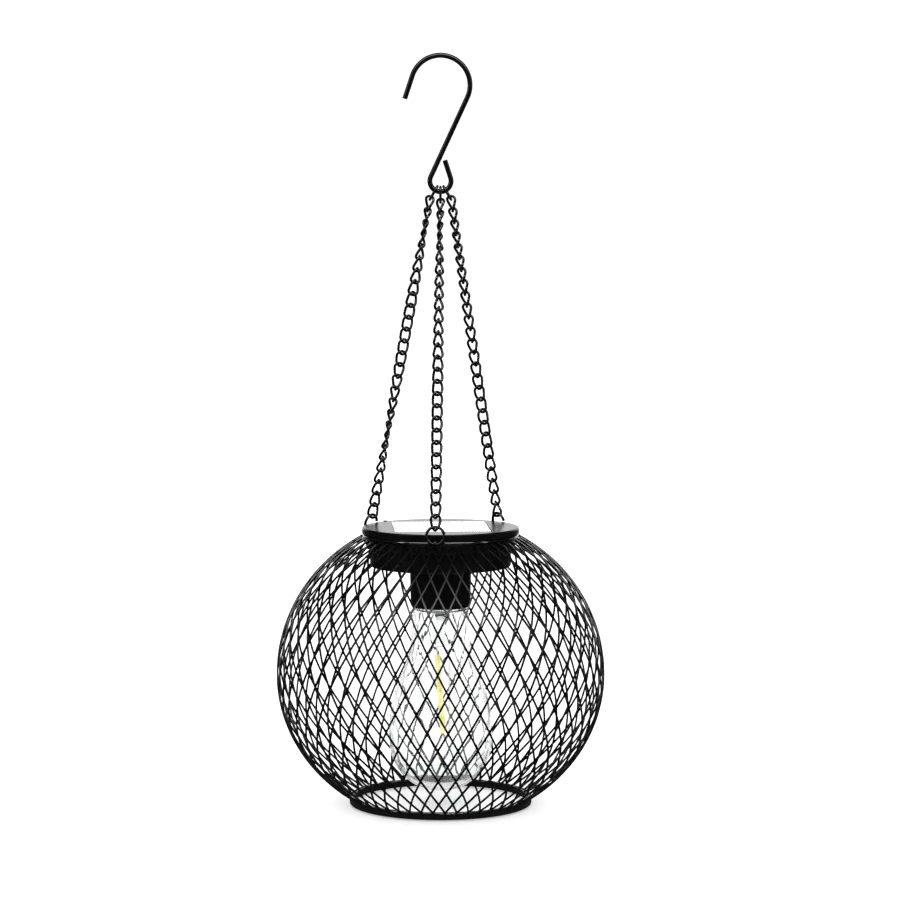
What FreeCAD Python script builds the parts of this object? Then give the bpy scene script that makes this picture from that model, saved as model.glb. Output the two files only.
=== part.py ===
import FreeCAD, Part
import math
import os
import re
import Sketcher

# A hanging solar garden lantern. A wire hook carries three curb chains, the chains carry an open
# diamond-mesh globe, and a round solar unit with a bulb sits in the globe's top collar.
# Lengths are millimetres and angles degrees. +Z is up, +X the lantern's right and -Y its front.
# The origin is the hook's seat: the inside top of its big bend, straight above the lamp's axis.
# Sub-parts of the lamp are drawn with the solar cap's top face at height 0 and then placed.

SIZES = {
    # height of the cap's top face, below the seat
    "cap_top": -270.4,
    # hook: round wire, a big open bend, a straight shank and a small closed eye
    "hook_wire": 3.0,
    "bend_radius": 17.0,
    "eye_radius": 6.1,
    "eye_drop": 54.9,
    "leg_length": 14.0,
    "leg_splay": 18.4,
    "eye_closing": 18.0,
    "eye_end": 10.6,
    # curb chain links: radii and reach are to the wire's middle
    "link_wire": 1.6,
    "link_bend": 2.65,
    "link_reach": 4.45,
    "link_twist": 90.0,
    "link_joint": 0.1,
    "link_lean": 0.5,
    "link_play": 0.04,
    "hinge_play": 0.5,
    # split jump rings, and the eye tabs on the collar that they hang in
    "ring_wire": 1.7,
    "ring_radius": 5.0,
    "ring_split": 16.0,
    "lug_reach": 48.5,
    "lug_drop": 5.1,
    "lug_hole": 1.3,
    "lug_end": 2.9,
    "lug_root": 44.6,
    "lug_neck": 2.2,
    "lug_thick": 1.2,
    # globe: an ellipse of revolution, a little taller above its equator than below
    "globe_radius": 95.2,
    "globe_equator": -86.0,
    "globe_above": 92.0,
    "globe_below": 87.0,
    "mesh_cells": 50,
    "mesh_start": 29.2,
    "mesh_end": 146.4,
    "mesh_knot": 145.6,
    "mesh_row": 7.1,
    "mesh_turn": -0.8,
    "strand_width": 1.1,
    "strand_thick": 0.8,
    # base ring: a folded rim round the mesh's lower edge
    "base_top": -157.8,
    "base_foot": -162.2,
    "base_outer": 53.2,
    "base_inner": 50.0,
    "base_round": 0.7,
    # top collar: a sleeve with a half-round bead, a hem that the mesh is welded to, and a
    # notched bayonet flange inside
    "collar_inner": 42.6,
    "collar_wall": 0.8,
    "collar_top": -4.1,
    "collar_bottom": -12.0,
    "bead_outer": 45.4,
    "bead_round": 1.1,
    "hem_outer": 47.3,
    "hem_thick": 0.8,
    "flange_inner": 41.4,
    "flange_thick": 1.0,
    "notch_turn": 30.0,
    "notch_half": 8.5,
    "notch_past": 1.0,
    "notch_play": 0.1,
    # solar cap
    "cap_radius": 45.6,
    "cap_thick": 3.5,
    "cap_edge": 0.8,
    "cap_turn": 3.5,
    "panel_side": 55.0,
    "panel_gap": 0.3,
    "recess_depth": 2.0,
    "board_thick": 0.9,
    "cell_thick": 0.3,
    "cell_count": 4,
    "cell_gap": 0.8,
    "cell_margin": 2.0,
    "cover_gap": 0.1,
    "gasket_inner": 42.9,
    "gasket_outer": 44.7,
    "gasket_thick": 0.3,
    # housing drum under the cap
    "drum_radius": 41.0,
    "drum_wall": 1.6,
    "drum_bottom": -23.0,
    "drum_edge": 1.5,
    "pilot_radius": 42.3,
    "pilot_bottom": -7.5,
    "tab_radius": 42.3,
    "tab_top": -12.4,
    "tab_bottom": -14.4,
    "tab_half": 6.0,
    "tab_root": 0.5,
    "stem_hole": 10.7,
    # what is fixed inside the drum stands this far above its floor
    "floor_gap": 0.1,
    # battery bay in the drum's floor, behind the socket
    "door_length": 47.0,
    "door_width": 12.0,
    "door_gap": 0.3,
    "bay_offset": 24.0,
    "screw_spacing": 41.0,
    "screw_radius": 1.1,
    "screw_play": 0.1,
    "screw_length": 3.4,
    "screw_head": 2.0,
    "head_thick": 0.8,
    "cross_length": 2.4,
    "cross_width": 0.5,
    "battery_radius": 5.2,
    "battery_length": 43.0,
    "battery_height": -13.6,
    "nipple_radius": 1.9,
    "nipple_length": 0.8,
    "tray_length": 46.8,
    "tray_wall": 0.8,
    "tray_play": 0.4,
    "plate_side": 7.0,
    "plate_thick": 0.2,
    "plate_play": 0.05,
    "spring_large": 3.4,
    "spring_small": 2.0,
    "spring_length": 0.9,
    "spring_play": 0.1,
    # slide switch in the drum's floor, in front of the socket
    "switch_offset": -25.0,
    "slot_length": 7.0,
    "slot_width": 3.4,
    "knob_length": 3.6,
    "knob_width": 2.8,
    "knob_foot": -24.6,
    "knob_inside": 2.5,
    "switch_travel": 2.4,
    "case_length": 12.0,
    "case_width": 6.4,
    "case_height": 3.4,
    "case_play": 0.2,
    # circuit board
    "circuit_length": 42.0,
    "circuit_width": 15.0,
    "circuit_thick": 1.6,
    "circuit_height": -12.0,
    "circuit_offset": -24.0,
    "chip_length": 5.0,
    "chip_width": 4.0,
    "chip_height": 1.6,
    "coil_radius": 2.6,
    "coil_height": 5.0,
    "coil_place": 11.0,
    "capacitor_radius": 2.2,
    "capacitor_height": 5.5,
    "capacitor_place": -12.0,
    "resistor_length": 2.0,
    "resistor_width": 1.2,
    "resistor_height": 0.6,
    "resistor_pitch": 4.0,
    "resistor_place": -4.9,
    # lamp socket and its fixing nut
    "socket_top_radius": 17.9,
    "socket_radius": 17.4,
    "socket_bottom": -46.9,
    "socket_edge": 1.8,
    "socket_bore": 13.6,
    "socket_roof": -26.0,
    "neck_radius": 10.5,
    "neck_bore": 4.0,
    "neck_top": -17.6,
    "nut_across": 26.0,
    "nut_thick": 3.2,
    "nut_play": 0.05,
    # bulb
    "plug_radius": 13.3,
    "plug_top": -28.0,
    "plug_bottom": -40.5,
    "plug_bevel": 2.0,
    "glass_wall": 0.7,
    "glass_root": 13.2,
    "glass_top": -47.7,
    "glass_neck": 16.4,
    "glass_edge": 1.6,
    "shoulder_bottom": -57.0,
    "belly_radius": 30.2,
    "belly_height": -121.0,
    "tip_height": -155.2,
    "upper_arc": 85.0,
    "base_arc": 60.0,
    # glass stem, lead wires and the filament
    "stem_radius": 5.0,
    "stem_waist": 2.6,
    "stem_end": -70.5,
    "stem_flare_top": -49.5,
    "stem_flare_bottom": -54.5,
    "flare_arc": 12.0,
    "filament_radius": 1.6,
    "filament_top": -75.3,
    "filament_bottom": -121.3,
    "filament_left": -2.0,
    "filament_right": 1.5,
    "lead_radius": 0.3,
    "lead_gap": 0.06,
    "lead_foot": 2.0,
    "lead_side": 3.5,
    "lead_slant": 3.0,
    "lead_inset": 0.6,
}

# Each chain: its lug's azimuth from the front, the place of its top link round the hook's eye,
# the way its jump ring faces, and the way its links face at shares of the chain's length.
CHAINS = {
    "front": {
        "azimuth": -3.4,
        "fan": 0.0,
        "ring": 0.0,
        "faces": [(0.0, -64.0), (0.18, -118.0), (0.4, -135.0), (0.6, -175.0), (1.0, -200.0)],
    },
    "left": {
        "azimuth": -120.0,
        "fan": -30.0,
        "ring": 50.0,
        "faces": [(0.0, -58.0), (0.18, -128.0), (0.35, -175.0), (0.5, -190.0), (0.85, -305.0), (1.0, -345.0)],
    },
    "right": {
        "azimuth": 134.0,
        "fan": 30.0,
        "ring": -50.0,
        "faces": [(0.0, -52.0), (0.1, -66.0), (0.2, -60.0), (0.4, -42.0), (0.7, 0.0), (1.0, 50.0)],
    },
}

doc = FreeCAD.newDocument("solar_lantern")
sheet = doc.addObject("Spreadsheet::Sheet", "Sizes")
for row, (alias, number) in enumerate(SIZES.items(), start=1):
    sheet.set(f"A{row}", alias)
    sheet.set(f"B{row}", str(number))
    sheet.setAlias(f"B{row}", alias)
doc.recompute()

Vector = FreeCAD.Vector
UP = Vector(0, 0, 1)
subparts = []


# ---- helpers -------------------------------------------------------------------------------


def linked(formula):
    """A formula over the sheet's aliases, as another object's expression names them."""
    def named(word):
        return f"Sizes.{word[0]}" if word[0] in SIZES else word[0]

    return re.sub(r"[a-z]\w*", named, str(formula))


def size(formula):
    """What a formula over the sheet comes to."""
    value = sheet.evalExpression(linked(formula))
    return float(getattr(value, "Value", value))


def polar(radius, angle):
    return Vector(radius * math.cos(angle), radius * math.sin(angle), 0)


def new_body(label, height="cap_top", turn="0"):
    """An empty body whose placement is a height and a turn about the lamp's axis."""
    body = doc.addObject("PartDesign::Body", label)
    body.Label = label
    body.Placement = FreeCAD.Placement(Vector(0, 0, size(height)), FreeCAD.Rotation(UP, size(turn)))
    body.setExpression("Placement.Base.z", linked(height))
    subparts.append(body)
    return body


def new_sketch(body, plane="XZ_Plane", raised="0"):
    """A sketch on one of the body's own origin planes, raised along the plane's normal."""
    sketch = body.newObject("Sketcher::SketchObject", f"{body.Name}_sketch")
    origin_plane = next(item for item in body.Origin.OriginFeatures if item.Role == plane)
    sketch.AttachmentSupport = [(origin_plane, "")]
    sketch.MapMode = "FlatFace"
    sketch.setExpression("AttachmentOffset.Base.z", linked(raised))
    return sketch


def pin(sketch, geometry, end, corner):
    """Holds one end of a line or arc at a corner's two formulas."""
    for kind, formula in zip(("DistanceX", "DistanceY"), corner):
        number = sketch.addConstraint(Sketcher.Constraint(kind, -1, 1, geometry, end, size(formula)))
        sketch.setExpression(f"Constraints[{number}]", linked(formula))


def arc_centre(start, end, radius):
    """Centre of the arc under half a turn between two points: left of the way for radius > 0."""
    chord = end - start
    rise = math.sqrt(max(radius**2 - chord.Length**2 / 4, 0))
    left = Vector(-chord.y, chord.x, 0).normalize()
    return (start + end) / 2 + left * math.copysign(rise, radius)


def draw(sketch, corners, closed=True):
    """Lines from corner to corner. A corner (x, y, radius) is reached by an arc instead of a line.

    Positive radii turn left on the way, and a closed outline's first corner may have one too.
    """
    points = [Vector(size(corner[0]), size(corner[1]), 0) for corner in corners]
    order = list(range(1, len(corners))) + ([0] if closed else [])
    ends = []
    for here in order:
        before = here - 1
        start, end = points[before], points[here]
        if len(corners[here]) == 2:
            piece = sketch.addGeometry(Part.LineSegment(start, end), False)
            ends.append((piece, 1, 2))
            continue
        radius = size(corners[here][2])
        centre = arc_centre(start, end, radius)
        first, last = (start, end) if radius > 0 else (end, start)
        angles = [math.atan2(point.y - centre.y, point.x - centre.x) for point in (first, last)]
        if angles[1] < angles[0]:
            angles[1] += 2 * math.pi
        circle = Part.Circle(centre, UP, abs(radius))
        piece = sketch.addGeometry(Part.ArcOfCircle(circle, *angles), False)
        ends.append((piece, 1, 2) if radius > 0 else (piece, 2, 1))
        number = sketch.addConstraint(Sketcher.Constraint("Radius", piece, abs(radius)))
        sketch.setExpression(f"Constraints[{number}]", linked(f"abs({corners[here][2]})"))
    for (piece, start, _), here in zip(ends, order):
        pin(sketch, piece, start, corners[here - 1])
    for (one, _, end), (other, start, _) in zip(ends, ends[1:] + (ends[:1] if closed else [])):
        sketch.addConstraint(Sketcher.Constraint("Coincident", one, end, other, start))
    if not closed:
        pin(sketch, ends[-1][0], ends[-1][2], corners[-1])


def draw_circle(sketch, centre, radius):
    middle = Vector(size(centre[0]), size(centre[1]), 0)
    circle = sketch.addGeometry(Part.Circle(middle, UP, size(radius)), False)
    number = sketch.addConstraint(Sketcher.Constraint("Radius", circle, size(radius)))
    sketch.setExpression(f"Constraints[{number}]", linked(radius))
    pin(sketch, circle, 3, centre)


def rectangle(x, y, length, width):
    """The corners of a rectangle about a centre, all as formulas."""
    return [(f"{x} {a} ({length}) / 2", f"{y} {b} ({width}) / 2") for a, b in ("--", "+-", "++", "-+")]


def revolve(body, corners):
    """Turns an outline in the XZ plane once round the lamp's axis."""
    sketch = new_sketch(body)
    draw(sketch, corners)
    turned = body.newObject("PartDesign::Revolution", f"{body.Name}_revolution")
    turned.Profile = sketch
    turned.ReferenceAxis = (sketch, ["V_Axis"])
    turned.Angle = 360
    sketch.Visibility = False
    return turned


def pad(body, bottom, thickness, *outlines, circles=()):
    """Pads outlines and circles upward from a height."""
    sketch = new_sketch(body, "XY_Plane", bottom)
    for outline in outlines:
        draw(sketch, outline)
    for centre, radius in circles:
        draw_circle(sketch, centre, radius)
    padded = body.newObject("PartDesign::Pad", f"{body.Name}_pad")
    padded.Profile = sketch
    padded.setExpression("Length", linked(thickness))
    return padded


def pocket(body, top, depth, *outlines, circles=()):
    """Cuts outlines and circles downward from a height, and makes sure that something was cut."""
    doc.recompute()
    before = body.Shape.Volume
    sketch = new_sketch(body, "XY_Plane", top)
    for outline in outlines:
        draw(sketch, outline)
    for centre, radius in circles:
        draw_circle(sketch, centre, radius)
    cut = body.newObject("PartDesign::Pocket", f"{body.Name}_pocket")
    cut.Profile = sketch
    cut.setExpression("Length", linked(depth))
    doc.recompute()
    if body.Shape.Volume >= before:
        raise RuntimeError(f"a pocket in {body.Label} cuts nothing")
    return cut


def repeat_round(body, feature, count):
    """Repeats a feature evenly round the body's Z axis."""
    pattern = body.newObject("PartDesign::PolarPattern", f"{body.Name}_pattern")
    pattern.Originals = [feature]
    z_axis = next(item for item in body.Origin.OriginFeatures if item.Role == "Z_Axis")
    pattern.Axis = (z_axis, [""])
    pattern.Angle = 360
    pattern.Occurrences = count
    body.Tip = pattern
    return pattern


def sector(inner, outer, middle, half):
    """The corners of a piece of a ring, about a middle angle."""
    low, high = f"({middle} - {half})", f"({middle} + {half})"
    return [
        (f"{inner} * cos{low}", f"{inner} * sin{low}", f"-{inner}"),
        (f"{outer} * cos{low}", f"{outer} * sin{low}"),
        (f"{outer} * cos{high}", f"{outer} * sin{high}", outer),
        (f"{inner} * cos{high}", f"{inner} * sin{high}"),
    ]


def new_solids(label, solids, height="0"):
    """One sub-part of separate solids whose shape Part's own functions make."""
    feature = doc.addObject("Part::Feature", label)
    feature.Label = label
    feature.Shape = Part.makeCompound(solids)
    feature.Placement = FreeCAD.Placement(Vector(0, 0, size(height)), FreeCAD.Rotation())
    feature.setExpression("Placement.Base.z", linked(height))
    subparts.append(feature)
    return feature


def primitive(kind, sizes, place, axis=UP):
    """A Part primitive whose sizes and place are formulas, with its own Z along an axis."""
    item = doc.addObject(f"Part::{kind}", kind.lower())
    item.Placement = FreeCAD.Placement(Vector(), FreeCAD.Rotation(UP, axis))
    for name, formula in sizes.items():
        item.setExpression(name, linked(formula))
    for name, formula in zip("xyz", place):
        item.setExpression(f"Placement.Base.{name}", linked(formula))
    return item


def box_about(x, y, bottom, length, width, height):
    """A box primitive with its middle at x, y and its bottom at a height."""
    place = (f"{x} - {length} / 2", f"{y} - {width} / 2", bottom)
    return primitive("Box", {"Length": length, "Width": width, "Height": height}, place)


def cylinder(place, radius, length, axis=UP):
    return primitive("Cylinder", {"Radius": radius, "Height": length}, place, axis)


def boolean(kind, one, other):
    """Part::Fuse or Part::Cut of two objects."""
    item = doc.addObject(f"Part::{kind}", kind.lower())
    item.Base = one
    item.Tool = other
    return item


def gather(label, items, turn="0"):
    """One sub-part of separate objects, in the cap's frame."""
    group = doc.addObject("Part::Compound", label)
    group.Label = label
    group.Links = items
    group.Placement = FreeCAD.Placement(Vector(0, 0, size("cap_top")), FreeCAD.Rotation(UP, size(turn)))
    group.setExpression("Placement.Base.z", linked("cap_top"))
    subparts.append(group)
    return group


def wire_solid(points, directions, radius):
    """A round wire through points, as one smooth face and two flat ends."""
    around = 8
    across = directions[0].cross(UP if abs(directions[0].z) < 0.9 else Vector(1, 0, 0)).normalize()
    rings = []
    for point, direction in zip(points, directions):
        across = (across - direction * across.dot(direction)).normalize()
        side = direction.cross(across)
        turns = [2 * math.pi * step / around for step in range(around + 1)]
        rings.append([point + across * (radius * math.cos(a)) + side * (radius * math.sin(a)) for a in turns])
    surface = Part.BSplineSurface()
    surface.interpolate(rings)
    knots = surface.getUKnots()
    caps = [Part.Face(Part.Wire([surface.uIso(knot).toShape()])) for knot in (knots[0], knots[-1])]
    shell = Part.makeShell([surface.toShape()] + caps)
    shell.sewShape()
    solid = Part.makeSolid(shell)
    if solid.Volume < 0:
        solid.reverse()
    return solid


# ---- hook ----------------------------------------------------------------------------------

BEND_HEIGHT = "(hook_wire / 2 - bend_radius)"
EYE_HEIGHT = "(hook_wire / 2 - bend_radius - eye_drop)"
SHANK_LEAN = "(asin((bend_radius + eye_radius) / eye_drop))"


def make_hook():
    """Bent wire: a free leg, the bend over the rail, the shank, and the eye closed against it."""
    body = new_body("s_hook", "0")
    path = new_sketch(body)
    tip_x = "-(bend_radius * cos(leg_splay) + leg_length * sin(leg_splay))"
    tip_z = f"{BEND_HEIGHT} + bend_radius * sin(leg_splay) - leg_length * cos(leg_splay)"
    draw(
        path,
        [
            (tip_x, tip_z),
            ("-bend_radius * cos(leg_splay)", f"{BEND_HEIGHT} + bend_radius * sin(leg_splay)"),
            ("0", "hook_wire / 2", "-bend_radius"),
            (
                f"bend_radius * cos{SHANK_LEAN}",
                f"{BEND_HEIGHT} - bend_radius * sin{SHANK_LEAN}",
                "-bend_radius",
            ),
            (f"-eye_radius * cos{SHANK_LEAN}", f"{EYE_HEIGHT} + eye_radius * sin{SHANK_LEAN}"),
            ("0", f"{EYE_HEIGHT} - eye_radius", "eye_radius"),
            ("eye_radius * cos(eye_closing)", f"{EYE_HEIGHT} + eye_radius * sin(eye_closing)", "eye_radius"),
            (
                "eye_radius * cos(eye_closing) - eye_end * sin(eye_closing)",
                f"{EYE_HEIGHT} + eye_radius * sin(eye_closing) + eye_end * cos(eye_closing)",
            ),
        ],
        closed=False,
    )
    doc.recompute()
    section = body.newObject("Sketcher::SketchObject", "s_hook_section")
    section.AttachmentSupport = [(path, "Edge1")]
    section.MapMode = "NormalToEdge"
    draw_circle(section, ("0", "0"), "hook_wire / 2")
    pipe = body.newObject("PartDesign::AdditivePipe", "s_hook_pipe")
    pipe.Profile = section
    pipe.Spine = path


# ---- chains --------------------------------------------------------------------------------


def link_point(along, twist):
    """A point on a link's middle line, a distance along it from the middle of one leg."""
    bend = size("link_bend")
    leg = size("link_reach") - bend
    half = 2 * leg + math.pi * bend
    side = 1 if along % (2 * half) < half else -1
    along = along % half
    if along < leg:
        x, z = bend, along
    elif along < leg + math.pi * bend:
        turn = (along - leg) / bend
        x, z = bend * math.cos(turn), leg + bend * math.sin(turn)
    else:
        x, z = -bend, half - along
    x, z = side * x, side * z
    turn = math.radians(twist) * z / (2 * size("link_reach"))
    return Vector(x * math.cos(turn), x * math.sin(turn), z)


def make_link(twist):
    """One link of bent wire, butted in the middle of a leg, standing along Z and facing -Y."""
    steps = 16
    joint = size("link_joint")
    around = 4 * (size("link_reach") - size("link_bend")) + 2 * math.pi * size("link_bend")
    places = [joint / 2 + (around - joint) * step / steps for step in range(steps + 1)]
    ahead = 0.01
    directions = [
        (link_point(place + ahead, twist) - link_point(place - ahead, twist)).normalize() for place in places
    ]
    return wire_solid([link_point(place, twist) for place in places], directions, size("link_wire") / 2)


def stood(solid, centre, upward, face):
    """A copy of a link or ring, stood along a direction and turned about it by face."""
    placed = solid.copy()
    along = FreeCAD.Rotation(Vector(1, 0, 0), Vector(), upward, "ZXY")
    placed.Placement = FreeCAD.Placement(centre, along * FreeCAD.Rotation(UP, face))
    return placed


def eye_wire(chain):
    """The middle of the hook's eye wire, where a chain's top link hangs on it."""
    fan = math.radians(chain["fan"])
    return Vector(0, 0, size(EYE_HEIGHT)) + Vector(math.sin(fan), 0, -math.cos(fan)) * size("eye_radius")


def top_link_direction(chain):
    """The way that a top link hangs from the eye: fanned out, and leaning part way with its chain."""
    fan = math.radians(chain["fan"])
    drop = eye_wire(chain).z - lug_hole(chain).z
    lean = math.atan2(lug_hole(chain).y, drop) * size("link_lean")
    return Vector(math.sin(fan) * math.cos(lean), math.sin(lean), -math.cos(fan) * math.cos(lean))


def top_link_end(chain):
    """The middle of the wire at the bottom of a chain's top link."""
    return eye_wire(chain) + top_link_direction(chain) * size("2 * link_reach - link_bend")


def lug_hole(chain):
    """The middle of the hole in a chain's lug."""
    azimuth = math.radians(chain["azimuth"])
    reach = size("lug_reach")
    return Vector(reach * math.sin(azimuth), -reach * math.cos(azimuth), size("cap_top - lug_drop"))


def face_at(chain, share):
    """The direction that a chain's links face, a share of the way down it."""
    for (start, first), (end, last) in zip(chain["faces"], chain["faces"][1:]):
        if share <= end:
            return first + (last - first) * (share - start) / (end - start)
    return chain["faces"][-1][1]


def make_top_links():
    """The three links that ride in the hook's eye, flat ovals square to its wire."""
    oval = make_link(0)
    links = []
    for chain in CHAINS.values():
        downward = top_link_direction(chain)
        centre = eye_wire(chain) + downward * size("link_reach - link_bend")
        links.append(stood(oval, centre, downward * -1, 90))
    new_solids("top_links", links)


def make_chain(name, chain):
    """Curb links from the top link down to the jump ring, with their play shared out evenly."""
    start, end = top_link_end(chain), lug_hole(chain)
    upward = (start - end).normalize()
    length = (start - end).Length - size("2 * ring_radius")
    hold = size("link_wire + ring_wire") / 2
    pitch = size("2 * link_reach - link_wire")
    span = length + hold + size("hinge_play")
    count = math.ceil(span / (pitch - size("link_play")))
    play = pitch - span / count
    curb = make_link(size("link_twist"))
    links = []
    for number in range(count):
        drop = size("link_reach - link_wire - hinge_play") + number * (pitch - play)
        links.append(stood(curb, start - upward * drop, upward, face_at(chain, number / (count - 1))))
    new_solids(f"chain_{name}", links)


def make_jump_ring(name, chain):
    """A split ring that hangs in its lug and lies along its chain's pull."""
    steps = 16
    radius = size("ring_radius")
    split = math.radians(size("ring_split"))
    turns = [split / 2 + (2 * math.pi - split) * step / steps for step in range(steps + 1)]
    points = [Vector(radius * math.cos(turn), 0, radius * math.sin(turn)) for turn in turns]
    directions = [Vector(-math.sin(turn), 0, math.cos(turn)) for turn in turns]
    ring = wire_solid(points, directions, size("ring_wire") / 2)
    upward = (top_link_end(chain) - lug_hole(chain)).normalize()
    new_solids(f"jump_ring_{name}", [stood(ring, lug_hole(chain) + upward * radius, upward, chain["ring"])])


def make_lug(name, chain):
    """A flat eye tab, standing out from the collar's bead like a spoke."""
    body = new_body(f"lug_{name}")
    body.Placement.Rotation = FreeCAD.Rotation(UP, chain["azimuth"] - 90)
    sketch = new_sketch(body, "XZ_Plane", "-lug_thick / 2")
    draw(
        sketch,
        [
            ("lug_reach", "-lug_drop + lug_end", "lug_end"),
            ("lug_reach - lug_neck", "-lug_drop + lug_end / 3"),
            ("lug_root", "-lug_drop + lug_end / 3"),
            ("lug_root", "-lug_drop - lug_end / 2"),
            ("lug_reach - lug_neck", "-lug_drop - lug_end / 2"),
            ("lug_reach", "-lug_drop - lug_end"),
            ("lug_reach + lug_end", "-lug_drop", "lug_end"),
        ],
    )
    draw_circle(sketch, ("lug_reach", "-lug_drop"), "lug_hole")
    padded = body.newObject("PartDesign::Pad", f"{body.Name}_pad")
    padded.Profile = sketch
    padded.setExpression("Length", linked("lug_thick"))


# ---- globe ---------------------------------------------------------------------------------


def globe_point(angle):
    """Radius and height on the globe's profile, at an angle down from its pole."""
    rise = size("globe_above") if angle < 90 else size("globe_below")
    turn = math.radians(angle)
    return size("globe_radius") * math.sin(turn), size("globe_equator") + rise * math.cos(turn)


def strand_frame(angle, hand, start):
    """Point, outward normal and sideways direction of a strand at an angle down the globe."""
    pitch = math.pi / size("mesh_cells")

    def spot(down, ahead):
        radius, height = globe_point(down)
        turn = math.radians(start) + hand * pitch * (down + ahead - size("mesh_knot")) / size("mesh_row")
        return polar(radius, turn) + UP * height

    small = 0.01
    point = spot(angle, 0)
    forward = (spot(angle + small, 0) - spot(angle - small, 0)).normalize()
    round_way = Vector(-point.y, point.x, 0).normalize()
    down_way = (spot(angle + small, -small) - spot(angle - small, small)).normalize()
    outward = round_way.cross(down_way * -1).normalize()
    return point, outward, forward.cross(outward)


def make_strand(hand, start):
    """A flat strip of the mesh sheet that winds down the globe from the collar to the base ring."""
    steps = 18
    first, last = size("mesh_start"), size("mesh_end")
    half_width, half_thick = size("strand_width") / 2, size("strand_thick") / 2
    rails = []
    for across, out in ((-1, -1), (1, -1), (1, 1), (-1, 1)):
        points = []
        for step in range(steps + 1):
            point, outward, sideways = strand_frame(first + (last - first) * step / steps, hand, start)
            points.append(point + sideways * (across * half_width) + outward * (out * half_thick))
        rail = Part.BSplineCurve()
        rail.interpolate(points)
        rails.append(rail.toShape())
    faces = [Part.makeRuledSurface(rails[side], rails[(side + 1) % 4]) for side in range(4)]
    for end in (0, -1):
        corners = [rail.Vertexes[end].Point for rail in rails]
        faces.append(Part.Face(Part.makePolygon(corners + corners[:1])))
    solid = Part.makeSolid(Part.makeShell(faces))
    if solid.Volume < 0:
        solid.reverse()
    return solid


def make_mesh(label, hand):
    """All the strands of the diamond mesh that wind one way round."""
    cells = round(size("mesh_cells"))
    strand = make_strand(hand, size("mesh_turn"))
    strands = []
    for cell in range(cells):
        copy = strand.copy()
        copy.rotate(Vector(), UP, 360 * cell / cells)
        strands.append(copy)
    new_solids(label, strands, "cap_top")


def make_base_ring():
    """The rim that closes the mesh's lower edge and makes the globe's foot."""
    body = new_body("base_ring")
    revolve(
        body,
        [
            ("base_inner", "base_foot + base_round"),
            ("base_inner + base_round", "base_foot", "base_round"),
            ("base_outer - base_round", "base_foot"),
            ("base_outer", "base_foot + base_round", "base_round"),
            ("base_outer", "base_top - base_round"),
            ("base_outer - base_round", "base_top", "base_round"),
            ("base_inner + base_round", "base_top"),
            ("base_inner", "base_top - base_round", "base_round"),
        ],
    )


def make_collar():
    """A sleeve round the drum, with a bead and a hem outside and a notched flange inside."""
    body = new_body("top_collar")
    sleeve_outer = "collar_inner + collar_wall"
    bead_bottom = "collar_top - 2 * bead_round"
    revolve(
        body,
        [
            ("collar_inner", "collar_top"),
            ("collar_inner", "collar_bottom + flange_thick"),
            ("flange_inner", "collar_bottom + flange_thick"),
            ("flange_inner", "collar_bottom"),
            (sleeve_outer, "collar_bottom"),
            (sleeve_outer, f"{bead_bottom} - hem_thick"),
            ("hem_outer", f"{bead_bottom} - hem_thick"),
            ("hem_outer", bead_bottom),
            ("bead_outer - bead_round", bead_bottom),
            ("bead_outer", "collar_top - bead_round", "bead_round"),
            ("bead_outer - bead_round", "collar_top", "bead_round"),
        ],
    )
    notch = sector("(flange_inner - notch_past)", "(collar_inner + notch_play)", "notch_turn", "notch_half")
    cut = pocket(body, "collar_bottom + flange_thick", "flange_thick", notch)
    repeat_round(body, cut, 3)


# ---- solar unit ----------------------------------------------------------------------------


def make_cap():
    """The round cap, recessed for the square panel."""
    body = new_body("solar_cap", turn="cap_turn")
    revolve(
        body,
        [
            ("0", "0"),
            ("0", "-cap_thick"),
            ("cap_radius", "-cap_thick"),
            ("cap_radius", "-cap_edge"),
            ("cap_radius - cap_edge", "0", "cap_edge"),
        ],
    )
    side = "panel_side + 2 * panel_gap"
    pocket(body, "0", "recess_depth", rectangle("0", "0", side, side))


def make_panel():
    """The panel's board, its row of cells, and the clear cover over them."""
    side = "panel_side"
    board = new_body("panel_board", turn="cap_turn")
    pad(board, "-recess_depth", "board_thick", rectangle("0", "0", side, side))
    room = "(panel_side - 2 * cell_margin)"
    pitch = f"(({room} + cell_gap) / cell_count)"
    middle = "((cell_count - 1) / 2)"
    cells = [
        box_about(
            f"({cell} - {middle}) * {pitch}",
            "0",
            "board_thick - recess_depth",
            f"({pitch} - cell_gap)",
            room,
            "cell_thick",
        )
        for cell in range(round(size("cell_count")))
    ]
    gather("panel_cells", cells, turn="cap_turn")
    cover = new_body("panel_cover", turn="cap_turn")
    pad(
        cover,
        "board_thick + cell_thick + cover_gap - recess_depth",
        "recess_depth - board_thick - cell_thick - cover_gap",
        rectangle("0", "0", side, side),
    )


def make_gasket():
    """A flat rubber ring under the cap's rim."""
    body = new_body("gasket")
    rims = [(("0", "0"), "gasket_outer"), (("0", "0"), "gasket_inner")]
    pad(body, "-cap_thick - gasket_thick", "gasket_thick", circles=rims)


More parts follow.
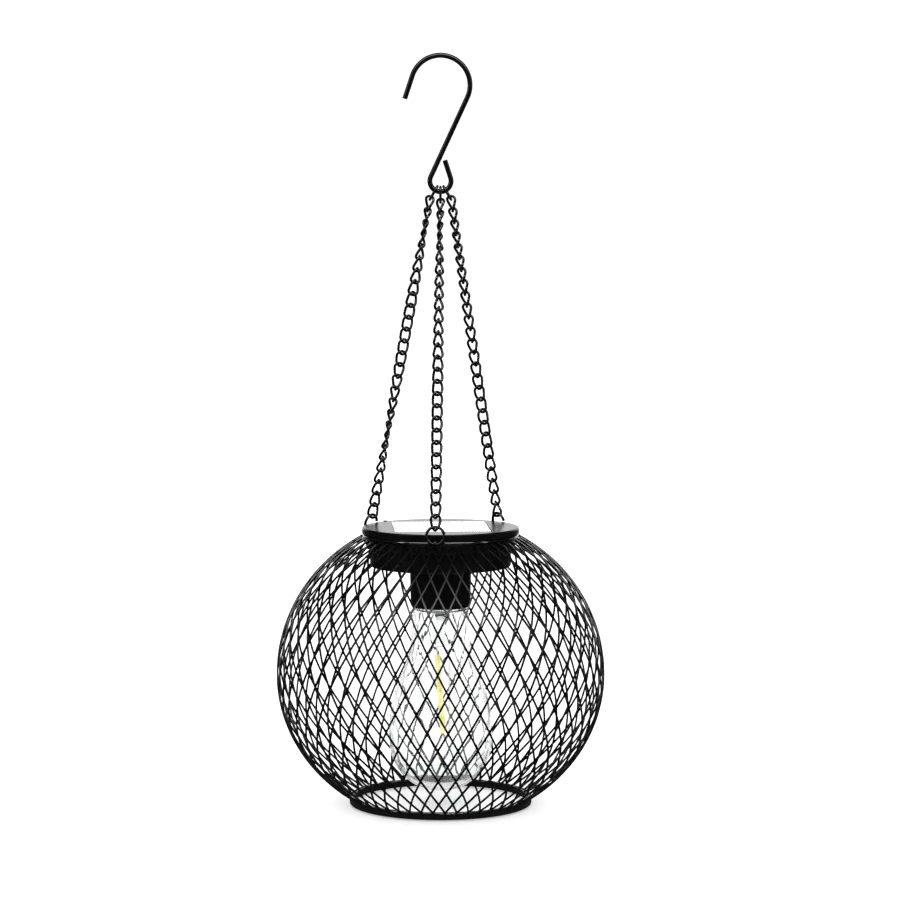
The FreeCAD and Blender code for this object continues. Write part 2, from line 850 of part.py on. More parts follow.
def make_drum():
    """The housing: an open cup with bayonet tabs, a battery bay, a switch slot and a socket hole."""
    body = new_body("housing_drum")
    floor = "drum_bottom + drum_wall"
    revolve(
        body,
        [
            ("drum_radius - drum_wall", "-cap_thick"),
            ("drum_radius - drum_wall", floor),
            ("stem_hole", floor),
            ("stem_hole", "drum_bottom"),
            ("drum_radius - drum_edge", "drum_bottom"),
            ("drum_radius", "drum_bottom + drum_edge", "drum_edge"),
            ("drum_radius", "pilot_bottom"),
            ("pilot_radius", "pilot_bottom"),
            ("pilot_radius", "-cap_thick"),
        ],
    )
    tab_sector = sector("(drum_radius - tab_root)", "tab_radius", "0", "tab_half")
    tab = pad(body, "tab_bottom", "tab_top - tab_bottom", tab_sector)
    repeat_round(body, tab, 3)
    bay = rectangle("0", "bay_offset", "door_length + 2 * door_gap", "door_width + 2 * door_gap")
    pocket(body, floor, "drum_wall", bay)
    slot = rectangle("0", "switch_offset", "slot_length", "slot_width")
    pocket(body, floor, "drum_wall", slot)


def make_battery_door():
    """The door in the drum's floor, and the two cross-head screws that hold it."""
    door = new_body("battery_door")
    pad(door, "drum_bottom", "drum_wall", rectangle("0", "bay_offset", "door_length", "door_width"))
    ends = ["-screw_spacing / 2", "screw_spacing / 2"]
    holes = [((end, "bay_offset"), "screw_radius + screw_play") for end in ends]
    pocket(door, "drum_bottom + drum_wall", "drum_wall", circles=holes)
    screws = []
    for end in ends:
        head = cylinder((end, "bay_offset", "drum_bottom - head_thick"), "screw_head", "head_thick")
        shank = cylinder((end, "bay_offset", "drum_bottom"), "screw_radius", "screw_length")
        screw = boolean("Fuse", head, shank)
        for length, width in (("cross_length", "cross_width"), ("cross_width", "cross_length")):
            slot = box_about(end, "bay_offset", "drum_bottom - head_thick", length, width, "head_thick / 2")
            screw = boolean("Cut", screw, slot)
        screws.append(screw)
    gather("door_screws", screws)


def make_battery():
    """The tray above the door, the cell, and the plate and spring at the cell's ends."""
    along = Vector(1, 0, 0)
    tray = new_body("battery_tray")
    clear_width = "(2 * battery_radius + 2 * tray_play)"
    walls = rectangle("0", "bay_offset", "tray_length", f"{clear_width} + 2 * tray_wall")
    inside = rectangle("0", "bay_offset", "tray_length - 2 * tray_wall", clear_width)
    floor = "drum_bottom + drum_wall + floor_gap"
    pad(tray, floor, "battery_height - drum_bottom - drum_wall", walls, inside)

    start = ("-battery_length / 2", "bay_offset", "battery_height")
    end = ("battery_length / 2", "bay_offset", "battery_height")
    can = cylinder(start, "battery_radius", "battery_length", along)
    nipple = cylinder(end, "nipple_radius", "nipple_length", along)
    gather("battery", [boolean("Fuse", can, nipple)])

    plate = box_about(
        "battery_length / 2 + nipple_length + plate_play + plate_thick / 2",
        "bay_offset",
        "battery_height - plate_side / 2",
        "plate_thick",
        "plate_side",
        "plate_side",
    )
    spring = primitive(
        "Cone",
        {"Radius1": "spring_large", "Radius2": "spring_small", "Height": "spring_length"},
        ("-battery_length / 2 - spring_play - spring_length", "bay_offset", "battery_height"),
        along,
    )
    gather("battery_contacts", [plate, spring])


def make_circuit():
    """The charge controller's board and what is soldered to it."""
    board = new_body("circuit_board")
    outline = rectangle("0", "circuit_offset", "circuit_length", "circuit_width")
    pad(board, "circuit_height", "circuit_thick", outline)
    top = "circuit_height + circuit_thick"
    chip = box_about("0", "circuit_offset", top, "chip_length", "chip_width", "chip_height")
    coil = cylinder(("coil_place", "circuit_offset", top), "coil_radius", "coil_height")
    capacitor = cylinder(("capacitor_place", "circuit_offset", top), "capacitor_radius", "capacitor_height")
    resistors = [
        box_about(
            f"{place} * resistor_pitch",
            "circuit_offset + resistor_place",
            top,
            "resistor_length",
            "resistor_width",
            "resistor_height",
        )
        for place in (-1.5, -0.5, 0.5, 1.5)
    ]
    gather("circuit_parts", [chip, coil, capacitor] + resistors)


def make_switch():
    """The slide switch's case on the drum's floor, and the knob that comes out below."""
    case = new_body("switch_case")
    floor = "drum_bottom + drum_wall"
    inner = rectangle("0", "switch_offset", "slot_length + 2 * case_play", "slot_width + 2 * case_play")
    outer = rectangle("0", "switch_offset", "case_length", "case_width")
    pad(case, f"{floor} + floor_gap", "case_height", outer, inner)
    knob = new_body("switch_knob")
    place = rectangle("-switch_travel / 2", "switch_offset", "knob_length", "knob_width")
    pad(knob, "knob_foot", f"{floor} + knob_inside - knob_foot", place)


def make_socket():
    """The lamp socket, with a hollow threaded neck up through the drum's floor, and its nut."""
    body = new_body("lamp_socket")
    revolve(
        body,
        [
            ("neck_bore", "neck_top"),
            ("neck_bore", "socket_roof"),
            ("socket_bore", "socket_roof"),
            ("socket_bore", "socket_bottom"),
            ("socket_radius - socket_edge", "socket_bottom"),
            ("socket_radius", "socket_bottom + socket_edge", "socket_edge"),
            ("socket_top_radius", "drum_bottom"),
            ("neck_radius", "drum_bottom"),
            ("neck_radius", "neck_top"),
        ],
    )
    nut = new_body("socket_nut")
    corner = "nut_across / 2 / cos(30)"
    hexagon = [(f"{corner} * cos({60 * number})", f"{corner} * sin({60 * number})") for number in range(6)]
    bore = [(("0", "0"), "neck_radius + nut_play")]
    pad(nut, "drum_bottom + drum_wall", "nut_thick", hexagon, circles=bore)


# The glass swells from its neck in an S of two arcs, and closes in two more that meet smoothly.
FLARE = "(belly_radius - glass_neck)"
SHOULDER = "(shoulder_bottom - belly_height)"
ARCS_TOGETHER = f"(({SHOULDER} ^ 2 + {FLARE} ^ 2) / (2 * {FLARE}))"
NECK_ARC = f"({ARCS_TOGETHER} - upper_arc)"
DEPTH = "(belly_height - tip_height)"
BASE_INSET = "(base_arc - belly_radius)"
TIP_ARC = f"((base_arc ^ 2 - {BASE_INSET} ^ 2 - {DEPTH} ^ 2) / (2 * (base_arc - {DEPTH})))"


def upper_joint(depth):
    """Where the neck's arc meets the upper arc, a depth under the outer surface."""
    share = f"((upper_arc - {depth}) / {ARCS_TOGETHER})"
    across = f"belly_radius - upper_arc + ({ARCS_TOGETHER} - {FLARE}) * {share}"
    return across, f"belly_height + {SHOULDER} * {share}"


def lower_joint(depth):
    """Where the base's arc meets the tip's arc, a depth under the outer surface."""
    share = f"((base_arc - {depth}) / (base_arc - {TIP_ARC}))"
    across = f"{BASE_INSET} * {share} - {BASE_INSET}"
    return across, f"belly_height - ({DEPTH} - {TIP_ARC}) * {share}"


def make_bulb():
    """The plug in the socket, the glass envelope, and the stem that holds the filament."""
    plug = new_body("bulb_plug")
    revolve(
        plug,
        [
            ("0", "plug_top"),
            ("0", "plug_bottom"),
            ("plug_radius", "plug_bottom"),
            ("plug_radius", "plug_top - plug_bevel"),
            ("plug_radius - plug_bevel", "plug_top"),
        ],
    )
    glass = new_body("bulb_glass")
    inner_neck = "glass_neck - glass_wall"
    revolve(
        glass,
        [
            ("glass_root", "glass_top"),
            ("glass_root", "plug_bottom"),
            ("glass_root - glass_wall", "plug_bottom"),
            ("glass_root - glass_wall", "glass_top - glass_wall"),
            ("glass_neck - glass_edge", "glass_top - glass_wall"),
            (inner_neck, "glass_top - glass_edge", "-(glass_edge - glass_wall)"),
            (inner_neck, "shoulder_bottom"),
            (*upper_joint("glass_wall"), f"{NECK_ARC} + glass_wall"),
            ("belly_radius - glass_wall", "belly_height", "glass_wall - upper_arc"),
            (*lower_joint("glass_wall"), "glass_wall - base_arc"),
            ("0", "tip_height + glass_wall", f"glass_wall - {TIP_ARC}"),
            ("0", "tip_height"),
            (*lower_joint("0"), TIP_ARC),
            ("belly_radius", "belly_height", "base_arc"),
            (*upper_joint("0"), "upper_arc"),
            ("glass_neck", "shoulder_bottom", f"-{NECK_ARC}"),
            ("glass_neck", "glass_top - glass_edge"),
            ("glass_neck - glass_edge", "glass_top", "glass_edge"),
        ],
    )
    stem = new_body("bulb_stem")
    revolve(
        stem,
        [
            ("0", "plug_bottom"),
            ("0", "stem_end"),
            ("stem_waist", "stem_end"),
            ("stem_waist", "stem_flare_bottom"),
            ("stem_radius", "stem_flare_top", "-flare_arc"),
            ("stem_radius", "plug_bottom"),
        ],
    )


def bent_lead(points, radius):
    """A lead wire with straight runs from point to point and round knees between them."""
    runs = []
    for start, end in zip(points, points[1:]):
        runs.append(Part.makeCylinder(radius, (end - start).Length, start, end - start))
    knees = [Part.makeSphere(radius, point) for point in points[1:-1]]
    return runs[0].fuse(runs[1:] + knees) if knees else runs[0]


def make_filament():
    """The glowing rod, slightly off plumb, and the two wires that carry it."""
    top = Vector(size("filament_left"), 0, size("filament_top"))
    bottom = Vector(size("filament_right"), 0, size("filament_bottom"))
    length = "sqrt((filament_right - filament_left) ^ 2 + (filament_top - filament_bottom) ^ 2)"
    rod = cylinder(("filament_left", "0", "filament_top"), "filament_radius", length, bottom - top)
    gather("led_filament", [rod])

    radius = size("lead_radius")
    gap = UP * size("lead_gap")
    stem_end = Vector(0, 0, size("stem_end")) - gap
    hanger = bent_lead([stem_end + Vector(top.x, 0, 0), top + gap], radius)
    foot = bottom - gap
    elbow = foot - UP * size("lead_foot")
    side = elbow + Vector(size("lead_side"), 0, 0)
    head = stem_end + Vector(size("stem_waist - lead_inset"), 0, -radius)
    shoulder = Vector(side.x, 0, head.z - size("lead_slant"))
    new_solids("filament_leads", [hanger, bent_lead([foot, elbow, side, shoulder, head], radius)], "cap_top")


# ---- build, check and write ----------------------------------------------------------------


def write_subparts():
    """Stops on any failed object or bad shape, then writes one STEP file for each sub-part."""
    doc.recompute()
    for item in doc.Objects:
        if {"Invalid", "Error"} & set(item.State):
            raise RuntimeError(f"{item.Label} failed: {item.State}")
    for part in subparts:
        if part.Shape.isNull() or not part.Shape.isValid() or not part.Shape.Solids:
            raise RuntimeError(f"{part.Label} has no sound solid")
    os.makedirs("parts", exist_ok=True)
    for part in subparts:
        part.Shape.exportStep(f"parts/{part.Label}.step")
        print(part.Label, len(part.Shape.Solids), round(part.Shape.Volume, 1))


make_hook()
make_top_links()
for name, chain in CHAINS.items():
    make_chain(name, chain)
    make_jump_ring(name, chain)
    make_lug(name, chain)
make_mesh("mesh_strands_left", -1)
make_mesh("mesh_strands_right", 1)
make_base_ring()
make_collar()
make_cap()
make_panel()
make_gasket()
make_drum()
make_battery_door()
make_battery()
make_circuit()
make_switch()
make_socket()
make_bulb()
make_filament()
write_subparts()
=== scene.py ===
import math

import bpy
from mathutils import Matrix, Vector


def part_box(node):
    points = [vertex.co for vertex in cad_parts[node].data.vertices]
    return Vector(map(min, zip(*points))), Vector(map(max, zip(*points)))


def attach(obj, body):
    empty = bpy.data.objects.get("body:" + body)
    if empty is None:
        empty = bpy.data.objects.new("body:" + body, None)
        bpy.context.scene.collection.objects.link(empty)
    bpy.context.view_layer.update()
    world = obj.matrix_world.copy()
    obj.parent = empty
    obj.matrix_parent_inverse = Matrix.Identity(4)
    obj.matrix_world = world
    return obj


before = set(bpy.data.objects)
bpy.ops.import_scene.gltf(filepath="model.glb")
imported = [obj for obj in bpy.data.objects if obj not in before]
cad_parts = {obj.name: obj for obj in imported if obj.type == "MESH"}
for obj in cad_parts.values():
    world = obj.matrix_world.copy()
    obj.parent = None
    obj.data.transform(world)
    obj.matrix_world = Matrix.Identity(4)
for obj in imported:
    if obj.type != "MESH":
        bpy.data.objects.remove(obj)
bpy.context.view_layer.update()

MM = 0.001
CAP_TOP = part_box("solar_cap")[1][2]
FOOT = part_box("base_ring")[0][2]

# Camera: a long lens a little above the cap, almost straight at the lantern's front
LENS = 119.0  # mm
SENSOR = 36.0  # mm
CAMERA_PLACE = (0.0055, -1.720, CAP_TOP + 0.183)
CAMERA_DOWN = 4.6  # degrees

# The globe: two half ellipses of revolution, whose strands cross in rows as the CAD's do
GLOBE_RADIUS = 95.2 * MM
GLOBE_EQUATOR = CAP_TOP - 86.0 * MM
GLOBE_ABOVE = 92.0 * MM
GLOBE_BELOW = 87.0 * MM
MESH_CELLS = 50
MESH_KNOT = 145.6  # degrees from the globe's top to row 0 of the crossings
MESH_ROW = 7.1  # degrees between rows
MESH_ROWS = 17
MESH_TURN = -0.8  # degrees, from +X to the first cell
STRAND_THICK = 0.8 * MM

# The web at each crossing: half its size, its outline, and (height over the strand, scale) layers
KNOT_HALF_HIGH, KNOT_HALF_WIDE = 2.0 * MM, 0.75 * MM
KNOT_WAIST = 0.42
KNOT_OUTLINE = [
    (0.0, 1.0),
    (KNOT_WAIST, KNOT_WAIST),
    (1.0, 0.0),
    (KNOT_WAIST, -KNOT_WAIST),
    (0.0, -1.0),
    (-KNOT_WAIST, -KNOT_WAIST),
    (-1.0, 0.0),
    (-KNOT_WAIST, KNOT_WAIST),
]
KNOT_LAYERS = [(0.45, 0.8), (0.25, 1.0), (-0.25, 1.0), (-0.45, 0.8)]

# The spot welds on the base ring
WELD_RADIUS, WELD_HEIGHT = 1.0 * MM, 0.45 * MM
WELD_SUNK = 0.25 * MM
WELD_BELOW_RIM = 1.4 * MM
WELD_STEP = 0.06  # of a mesh cell, past the strands' start

# The mark that the mould's gate leaves on the cap
GATE_PLACE = (-32.8 * MM, 30.8 * MM)
GATE_RADIUS, GATE_HEIGHT, GATE_SUNK = 1.3 * MM, 0.5 * MM, 0.05 * MM

# Each ring of a low dome, as a share of its height
DOME_LIFTS = (0.0, 0.35, 0.65, 0.87)

# The floor, and how far it lies below the foot ring
FLOOR_HALF = 8.0
FLOOR_GAP = 0.6 * MM

# The room's brightness, in full and as painted surfaces mirror it
ROOM_BRIGHT, ROOM_MIRRORED = 1.15, 0.05

# Colours of the light's black parts
PAINT_BLACK = (0.0013, 0.0013, 0.0015)
HOUSING_BLACK = (0.0013, 0.0013, 0.0014)
CAP_BLACK = (0.0014, 0.0014, 0.0016)


# ---- node helpers --------------------------------------------------------------------------


def new_material(name):
    """A material with one Principled shader, and the tools to add nodes to it."""
    material = bpy.data.materials.new(name)
    material.use_nodes = True
    shader = next(node for node in material.node_tree.nodes if node.type == "BSDF_PRINCIPLED")
    return material, shader


def add_node(material, kind, **values):
    """A node with its sockets set by name."""
    node = material.node_tree.nodes.new(kind)
    for name, value in values.items():
        node.inputs[name.replace("_", " ")].default_value = value
    return node


def join(material, source, target):
    material.node_tree.links.new(source, target)


def object_space(material):
    """Coordinates in metres, in the lantern's own frame."""
    return add_node(material, "ShaderNodeTexCoord").outputs["Object"]


def noise(material, scale, detail=3.0, roughness=0.5):
    """Grain of a given count per metre."""
    node = add_node(material, "ShaderNodeTexNoise", Scale=scale, Detail=detail, Roughness=roughness)
    join(material, object_space(material), node.inputs["Vector"])
    return node.outputs["Fac"]


def spread(material, value, low, high, start=0.3, end=0.7):
    """Maps a texture value to a range."""
    node = add_node(
        material, "ShaderNodeMapRange", From_Min=start, From_Max=end, To_Min=low, To_Max=high
    )
    join(material, value, node.inputs["Value"])
    return node.outputs["Result"]


def tint(material, value, *stops):
    """A colour ramp from (position, colour) stops."""
    ramp = add_node(material, "ShaderNodeValToRGB")
    elements = ramp.color_ramp.elements
    for element, (position, colour) in zip(elements, stops):
        element.position = position
        element.color = (*colour, 1)
    for position, colour in stops[2:]:
        elements.new(position).color = (*colour, 1)
    join(material, value, ramp.inputs["Fac"])
    return ramp.outputs["Color"]


def bump(material, shader, height, distance, strength=1.0):
    """Relief of a given depth in metres."""
    node = add_node(material, "ShaderNodeBump", Strength=strength, Distance=distance)
    join(material, height, node.inputs["Height"])
    join(material, node.outputs["Normal"], shader.inputs["Normal"])


def coated_metal(name, colour, roughness, grain, depth, shine):
    """Painted wire or sheet: orange-peel relief, uneven gloss and faint dust in the grain.

    The relief has so many grains per metre, and a depth in metres.
    """
    material, shader = new_material(name)
    shader.inputs["Specular IOR Level"].default_value = shine
    fine = noise(material, grain, 4.0)
    broad = noise(material, grain / 14, 2.0)
    dusty = tuple(channel * 2.2 + 0.001 for channel in colour)
    dust = tint(material, broad, (0.35, colour), (0.75, dusty))
    gloss = spread(material, broad, roughness * 0.8, roughness * 1.35)
    join(material, dust, shader.inputs["Base Color"])
    join(material, gloss, shader.inputs["Roughness"])
    bump(material, shader, fine, depth)
    return material


def moulded_plastic(name, colour, roughness, grain, depth, shine=0.5):
    """Injection moulding: fine spark-eroded texture and slow changes of colour."""
    material, shader = new_material(name)
    shader.inputs["Specular IOR Level"].default_value = shine
    fine = noise(material, grain, 5.0, 0.6)
    broad = noise(material, 60.0, 2.0)
    paler = tuple(min(channel * 1.5 + 0.001, 1) for channel in colour)
    shade = tint(material, broad, (0.3, colour), (0.7, paler))
    gloss = spread(material, fine, roughness * 0.85, roughness * 1.2)
    join(material, shade, shader.inputs["Base Color"])
    join(material, gloss, shader.inputs["Roughness"])
    bump(material, shader, fine, depth)
    return material


def plated_metal(name, colour, roughness):
    """Plated or drawn metal with fine draw marks."""
    material, shader = new_material(name)
    marks = add_node(material, "ShaderNodeTexNoise", Scale=900.0, Detail=4.0)
    stretch = add_node(material, "ShaderNodeMapping")
    stretch.inputs["Scale"].default_value = (1, 1, 0.08)
    join(material, object_space(material), stretch.inputs["Vector"])
    join(material, stretch.outputs["Vector"], marks.inputs["Vector"])
    darker = tuple(channel * 0.75 for channel in colour)
    shade = tint(material, marks.outputs["Fac"], (0.3, darker), (0.7, colour))
    gloss = spread(material, marks.outputs["Fac"], roughness, roughness * 1.6)
    join(material, shade, shader.inputs["Base Color"])
    join(material, gloss, shader.inputs["Roughness"])
    bump(material, shader, marks.outputs["Fac"], 0.00001)
    shader.inputs["Metallic"].default_value = 1.0
    return material


def clear_glass(name, colour, bend, ripple, ripple_scale):
    """Clear glass or resin of a given refractive index, with a slow ripple in its surface."""
    material, shader = new_material(name)
    shader.inputs["Base Color"].default_value = (*colour, 1)
    shader.inputs["Transmission Weight"].default_value = 1.0
    shader.inputs["IOR"].default_value = bend
    wave = noise(material, ripple_scale, 1.0)
    shader.inputs["Roughness"].default_value = 0.0
    bump(material, shader, wave, ripple)
    return material


def solar_cells(name):
    """Dark thin-film cells with fine collector lines along them."""
    material, shader = new_material(name)
    shader.inputs["Specular IOR Level"].default_value = 0.12
    lines = add_node(material, "ShaderNodeTexWave", Scale=160.0, Distortion=0.0)
    lines.bands_direction = "Y"
    join(material, object_space(material), lines.inputs["Vector"])
    cloud = noise(material, 120.0)
    body = tint(material, cloud, (0.3, (0.008, 0.01, 0.02)), (0.7, (0.014, 0.018, 0.034)))
    mix = material.node_tree.nodes.new("ShaderNodeMix")
    mix.data_type = "RGBA"
    join(material, spread(material, lines.outputs["Fac"], 0.0, 0.3, 0.7, 1.0), mix.inputs[0])
    join(material, body, mix.inputs[6])
    mix.inputs[7].default_value = (0.35, 0.36, 0.4, 1)
    join(material, mix.outputs[2], shader.inputs["Base Color"])
    join(material, spread(material, cloud, 0.28, 0.36), shader.inputs["Roughness"])
    bump(material, shader, lines.outputs["Fac"], 0.000003)
    return material


def glowing_phosphor(name):
    """The filament's silicone and phosphor coat, dimly lit from inside and a little uneven."""
    material, shader = new_material(name)
    patches = noise(material, 260.0, 2.0)
    colour = tint(material, patches, (0.35, (0.72, 0.66, 0.2)), (0.65, (0.83, 0.79, 0.36)))
    join(material, colour, shader.inputs["Base Color"])
    join(material, colour, shader.inputs["Emission Color"])
    join(material, spread(material, patches, 0.5, 0.8), shader.inputs["Emission Strength"])
    join(material, spread(material, patches, 0.35, 0.5), shader.inputs["Roughness"])
    bump(material, shader, patches, 0.0001)
    return material


def battery_sleeve(name):
    """Heat-shrunk sleeve, slightly puckered all over."""
    material, shader = new_material(name)
    puckers = noise(material, 300.0, 3.0)
    shade = tint(material, puckers, (0.3, (0.03, 0.16, 0.08)), (0.7, (0.05, 0.24, 0.12)))
    join(material, shade, shader.inputs["Base Color"])
    join(material, spread(material, puckers, 0.22, 0.36), shader.inputs["Roughness"])
    bump(material, shader, puckers, 0.00008)
    return material


def finish_nodes():
    """Gives every CAD node its procedural material."""
    cage = coated_metal("powder_coat", PAINT_BLACK, 0.16, 1500.0, 0.00001, 0.2)
    rim = coated_metal("rim_gloss", PAINT_BLACK, 0.1, 700.0, 0.00001, 1.0)
    wire = coated_metal("wire_paint", PAINT_BLACK, 0.18, 900.0, 0.00002, 0.4)
    housing = moulded_plastic("housing_plastic", HOUSING_BLACK, 0.4, 2600.0, 0.00003, 0.2)
    cap = moulded_plastic("cap_plastic", CAP_BLACK, 0.24, 1700.0, 0.00003, 0.15)
    board = moulded_plastic("panel_board_plastic", (0.02, 0.02, 0.024), 0.5, 1500.0, 0.00004)
    rubber = moulded_plastic("gasket_rubber", (0.015, 0.015, 0.015), 0.75, 2200.0, 0.00006)
    green = moulded_plastic("solder_resist", (0.015, 0.11, 0.04), 0.3, 1200.0, 0.00002)
    epoxy = moulded_plastic("component_epoxy", (0.02, 0.02, 0.022), 0.5, 1800.0, 0.00003)
    plug = moulded_plastic("plug_plastic", (0.02, 0.02, 0.02), 0.45, 1600.0, 0.00003)
    steel = plated_metal("screw_steel", (0.62, 0.62, 0.63), 0.25)
    nickel = plated_metal("contact_nickel", (0.66, 0.64, 0.6), 0.28)
    finishes = {
        "s_hook": wire,
        "top_links": wire,
        "chain_front": wire,
        "chain_left": wire,
        "chain_right": wire,
        "jump_ring_front": wire,
        "jump_ring_left": wire,
        "jump_ring_right": wire,
        "lug_front": cage,
        "lug_left": cage,
        "lug_right": cage,
        "mesh_strands_left": cage,
        "mesh_strands_right": cage,
        "base_ring": rim,
        "top_collar": rim,
        "solar_cap": cap,
        "panel_board": board,
        "panel_cells": solar_cells("solar_film"),
        "panel_cover": clear_glass("panel_resin", (0.93, 0.95, 0.97), 1.5, 0.00001, 60.0),
        "gasket": rubber,
        "housing_drum": housing,
        "battery_door": housing,
        "door_screws": steel,
        "battery_tray": housing,
        "battery": battery_sleeve("battery_sleeve"),
        "battery_contacts": nickel,
        "circuit_board": green,
        "circuit_parts": epoxy,
        "switch_case": epoxy,
        "switch_knob": housing,
        "lamp_socket": housing,
        "socket_nut": housing,
        "bulb_plug": plug,
        "bulb_glass": clear_glass("bulb_clear", (0.9, 0.905, 0.905), 1.45, 0.0007, 75.0),
        "bulb_stem": clear_glass("stem_clear", (0.95, 0.965, 0.965), 1.45, 0.0003, 140.0),
        "led_filament": glowing_phosphor("phosphor"),
        "filament_leads": nickel,
    }
    for name, material in finishes.items():
        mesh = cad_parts[name].data
        mesh.materials.clear()
        mesh.materials.append(material)
    return finishes


def soften_edges():
    """Rounds edges that coated strip and moulded plastic don't have sharp."""
    widths_in_mm = {
        "mesh_strands_left": 0.12,
        "mesh_strands_right": 0.12,
        "lug_front": 0.2,
        "lug_left": 0.2,
        "lug_right": 0.2,
        "battery_door": 0.25,
        "switch_knob": 0.3,
        "panel_cover": 0.2,
        "door_screws": 0.1,
    }
    for name, width in widths_in_mm.items():
        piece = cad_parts[name]
        piece.modifiers.new("joined", "WELD").merge_threshold = 0.01 * MM
        modifier = piece.modifiers.new("rounded", "BEVEL")
        modifier.width = width * MM
        modifier.segments = 2
        modifier.use_clamp_overlap = False
        modifier.limit_method = "ANGLE"
        modifier.angle_limit = math.radians(40)


# ---- pieces --------------------------------------------------------------------------------


def new_piece(name, vertices, faces, material, body, smooth=True):
    """A mesh piece that rides on a CAD body."""
    mesh = bpy.data.meshes.new(name)
    mesh.from_pydata(vertices, [], faces)
    mesh.validate()
    mesh.materials.append(material)
    piece = bpy.data.objects.new(name, mesh)
    bpy.context.scene.collection.objects.link(piece)
    for polygon in mesh.polygons:
        polygon.use_smooth = smooth
    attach(piece, body)
    return piece


def globe_frame(angle, azimuth):
    """Point on the globe, with its outward and downward directions."""
    rise = GLOBE_ABOVE if angle < math.pi / 2 else GLOBE_BELOW
    across = Vector((math.cos(azimuth), math.sin(azimuth), 0))
    point = across * (GLOBE_RADIUS * math.sin(angle))
    point.z = GLOBE_EQUATOR + rise * math.cos(angle)
    drop = Vector((0, 0, rise * math.sin(angle)))
    down = (across * (GLOBE_RADIUS * math.cos(angle)) - drop).normalized()
    sideways = Vector((-across.y, across.x, 0))
    outward = down.cross(sideways)
    return point, outward, down, sideways


def mesh_knots(material):
    """The webs where the mesh's strands part, drawn out like stretched metal."""
    vertices, faces = [], []
    count = len(KNOT_OUTLINE)
    last_layer = len(KNOT_LAYERS) - 1
    for row in range(1, MESH_ROWS):
        angle = math.radians(MESH_KNOT - MESH_ROW * row)
        for cell in range(MESH_CELLS):
            azimuth = math.radians(MESH_TURN + (cell + (row % 2) / 2) * 360 / MESH_CELLS)
            point, outward, down, sideways = globe_frame(angle, azimuth)
            start = len(vertices)
            for out, scale in KNOT_LAYERS:
                middle = point + outward * (out * STRAND_THICK)
                wide = sideways * (KNOT_HALF_WIDE * scale)
                high = down * (KNOT_HALF_HIGH * scale)
                vertices += [middle + wide * x + high * y for x, y in KNOT_OUTLINE]
            for layer in range(last_layer):
                lower = start + layer * count
                upper = lower + count
                for step in range(count):
                    after = (step + 1) % count
                    faces.append((lower + step, lower + after, upper + after, upper + step))
            end = start + last_layer * count
            faces.append(tuple(range(start, start + count))[::-1])
            faces.append(tuple(range(end, end + count)))
    return new_piece("mesh_knots", vertices, faces, material, "lantern")


def dome_rings(radius, height, sides):
    """Points of a low dome on the XY plane, ring by ring from its foot, and then its top."""
    points = []
    for lift in DOME_LIFTS:
        wide = radius * math.sqrt(1 - lift * lift)
        for side in range(sides):
            turn = 2 * math.pi * side / sides
            points.append(Vector((wide * math.cos(turn), wide * math.sin(turn), height * lift)))
    return points + [Vector((0, 0, height))]


def add_domes(places, radius, height, sides=10):
    """Vertices and faces of domes, each at a point and facing a direction."""
    vertices, faces = [], []
    dome = dome_rings(radius, height, sides)
    for point, facing in places:
        start = len(vertices)
        turn = facing.to_track_quat("Z", "Y")
        vertices += [point + turn @ spot for spot in dome]
        for ring in range(len(DOME_LIFTS) - 1):
            low = start + ring * sides
            high = low + sides
            for side in range(sides):
                after = (side + 1) % sides
                faces.append((low + side, low + after, high + after, high + side))
        last = start + (len(DOME_LIFTS) - 1) * sides
        top = last + sides
        faces += [(last + side, last + (side + 1) % sides, top) for side in range(sides)]
    return vertices, faces


def weld_spots(material):
    """Spot welds where the mesh's strands meet the base ring."""
    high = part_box("base_ring")[1][2] - WELD_BELOW_RIM
    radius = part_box("base_ring")[1][0] - WELD_SUNK
    places = []
    for cell in range(MESH_CELLS):
        turn = math.radians(MESH_TURN + (cell + WELD_STEP) * 360 / MESH_CELLS)
        outward = Vector((math.cos(turn), math.sin(turn), 0))
        places.append((outward * radius + Vector((0, 0, high)), outward))
    vertices, faces = add_domes(places, WELD_RADIUS, WELD_HEIGHT)
    return new_piece("weld_spots", vertices, faces, material, "lantern")


def gate_mark(material):
    """The trimmed nub that the mould's gate leaves on top of the cap."""
    place = Vector((*GATE_PLACE, CAP_TOP - GATE_SUNK))
    vertices, faces = add_domes([(place, Vector((0, 0, 1)))], GATE_RADIUS, GATE_HEIGHT, 16)
    return new_piece("gate_mark", vertices, faces, material, "solar_unit")


# ---- stage, light and camera ---------------------------------------------------------------


def make_stage():
    """A plain white floor under the lantern's foot."""
    mesh = bpy.data.meshes.new("floor")
    far = FLOOR_HALF
    corners = [(-far, -far), (far, -far), (far, far), (-far, far)]
    mesh.from_pydata([(x, y, FOOT - FLOOR_GAP) for x, y in corners], [], [(0, 1, 2, 3)])
    material, shader = new_material("floor_white")
    cloud = noise(material, 3.0)
    shade = tint(material, cloud, (0.3, (0.93, 0.93, 0.93)), (0.7, (0.95, 0.95, 0.95)))
    join(material, shade, shader.inputs["Base Color"])
    shader.inputs["Roughness"].default_value = 0.9
    shader.inputs["Specular IOR Level"].default_value = 0.0
    shader.inputs["Emission Color"].default_value = (1, 1, 1, 1)
    shader.inputs["Emission Strength"].default_value = 0.3
    mesh.materials.append(material)
    floor = bpy.data.objects.new("floor", mesh)
    bpy.context.scene.collection.objects.link(floor)
    floor.visible_glossy = False


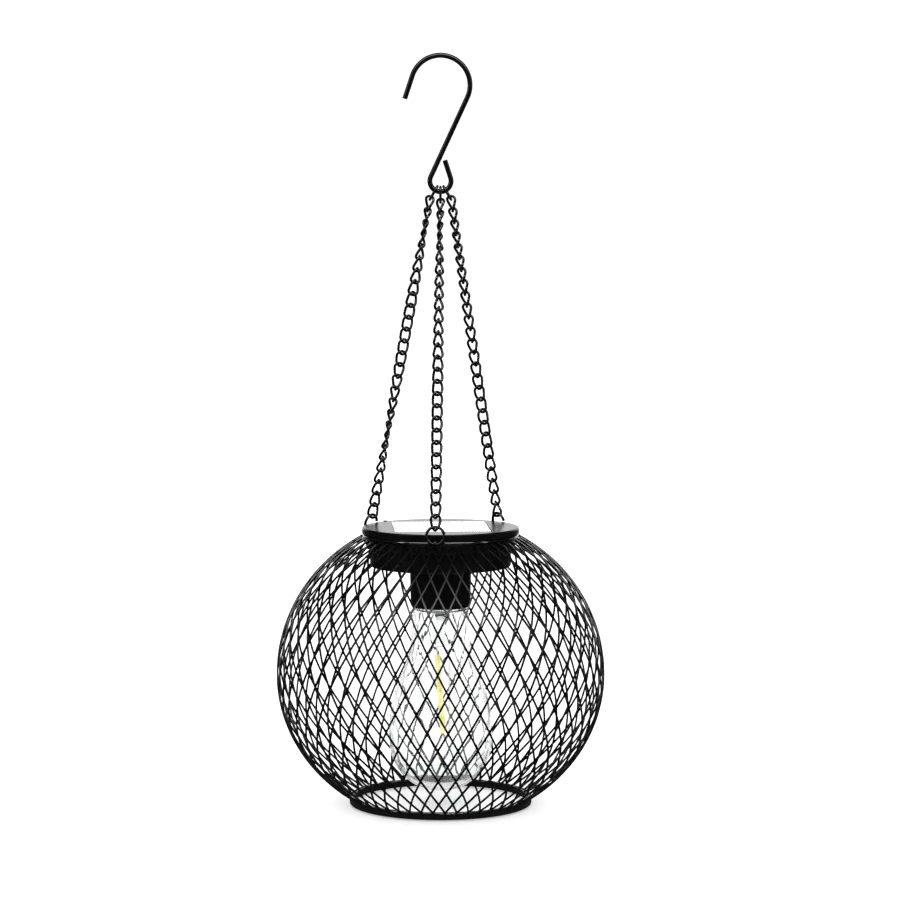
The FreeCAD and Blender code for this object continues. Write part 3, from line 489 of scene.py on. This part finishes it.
def area_light(name, place, aim, width, height, power, mirrored_only=False):
    """A soft box that the camera doesn't see. Some are there only for glossy surfaces to mirror."""
    light = bpy.data.lights.new(name, "AREA")
    light.shape = "RECTANGLE"
    light.size = width
    light.size_y = height
    light.energy = power
    item = bpy.data.objects.new(name, light)
    item.location = place
    item.rotation_euler = (Vector(aim) - Vector(place)).to_track_quat("-Z", "Y").to_euler()
    item.visible_camera = False
    item.visible_transmission = False
    item.visible_diffuse = not mirrored_only
    bpy.context.scene.collection.objects.link(item)


def make_light():
    """A white room that clear pieces mirror in full and painted ones dimly, and soft boxes."""
    world = bpy.data.worlds.new("studio")
    world.use_nodes = True
    nodes, links = world.node_tree.nodes, world.node_tree.links
    background = next(node for node in nodes if node.type == "BACKGROUND")
    mirrored = nodes.new("ShaderNodeMapRange")
    mirrored.inputs["To Min"].default_value = ROOM_BRIGHT
    mirrored.inputs["To Max"].default_value = ROOM_MIRRORED
    rays = nodes.new("ShaderNodeLightPath")
    clear = nodes.new("ShaderNodeMath")
    clear.operation = "MAXIMUM"
    links.new(rays.outputs["Is Transmission Ray"], clear.inputs[0])
    links.new(rays.outputs["Is Singular Ray"], clear.inputs[1])
    reflected = nodes.new("ShaderNodeMath")
    reflected.operation = "SUBTRACT"
    links.new(rays.outputs["Is Glossy Ray"], reflected.inputs[0])
    links.new(clear.outputs["Value"], reflected.inputs[1])
    links.new(reflected.outputs["Value"], mirrored.inputs["Value"])
    links.new(mirrored.outputs["Result"], background.inputs["Strength"])
    background.inputs["Color"].default_value = (1, 1, 1, 1)
    world.cycles.sampling_method = "NONE"
    bpy.context.scene.world = world
    middle = (0, 0, CAP_TOP - 0.08)
    area_light("overhead", (0.1, -0.5, 1.2), middle, 0.9, 0.7, 6)
    area_light("front_box", (0.0, -0.9, CAP_TOP + 1.2), middle, 2.6, 0.4, 30, mirrored_only=True)
    area_light("left_box", (-1.3, -0.7, 0.32), middle, 0.14, 0.9, 4, mirrored_only=True)
    area_light("right_box", (1.4, -0.5, 0.32), middle, 0.12, 0.9, 3, mirrored_only=True)
    above_cap = (0, 0, CAP_TOP + 0.1)
    area_light("backdrop", (0.0, 2.4, CAP_TOP + 0.45), above_cap, 3.0, 1.4, 19)


def make_camera():
    """A long lens at the photograph's viewing angle."""
    data = bpy.data.cameras.new("camera")
    data.lens = LENS
    data.sensor_width = SENSOR
    data.clip_end = 50
    camera = bpy.data.objects.new("camera", data)
    camera.location = CAMERA_PLACE
    camera.rotation_euler = (math.radians(90 - CAMERA_DOWN), 0, 0)
    bpy.context.scene.collection.objects.link(camera)
    bpy.context.scene.camera = camera
    bpy.context.scene.view_settings.view_transform = "Standard"


finishes = finish_nodes()
soften_edges()
mesh_knots(finishes["lug_front"])
weld_spots(finishes["lug_front"])
gate_mark(finishes["housing_drum"])
make_stage()
make_light()
make_camera()
